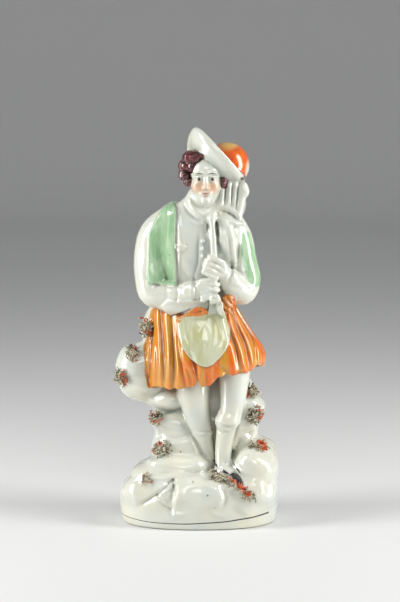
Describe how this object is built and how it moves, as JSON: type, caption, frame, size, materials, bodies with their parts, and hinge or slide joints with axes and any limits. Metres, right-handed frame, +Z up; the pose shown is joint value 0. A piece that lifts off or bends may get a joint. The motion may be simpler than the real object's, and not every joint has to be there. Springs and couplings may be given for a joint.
{
  "type": "staffordshire figure",
  "caption": "Press-moulded glazed earthenware figure of a piper in Highland dress, leaning on moss-tufted rockwork over an oval mound; stands on its flat underside.",
  "frame": {"origin": "middle of the mound's flat underside", "axes": "+Z up towards the hat, the figure faces -Y, +X to the viewer's right"},
  "size_m": [0.1258, 0.0728, 0.3008],
  "materials": {
    "glazed_body": "white lead-glazed earthenware with painted orange, green, brown, yellow and black",
    "moss": "shredded clay tufts under glaze, touched with orange and black"
  },
  "bodies": {
    "root": {"piper_figure": "glazed_body", "moss_tuft_01": "moss", "moss_tuft_02": "moss", "moss_tuft_03": "moss", "moss_tuft_04": "moss", "moss_tuft_05": "moss", "moss_tuft_06": "moss", "moss_tuft_07": "moss", "moss_tuft_08": "moss", "moss_tuft_09": "moss", "moss_tuft_10": "moss"}
  },
  "joints": []
}
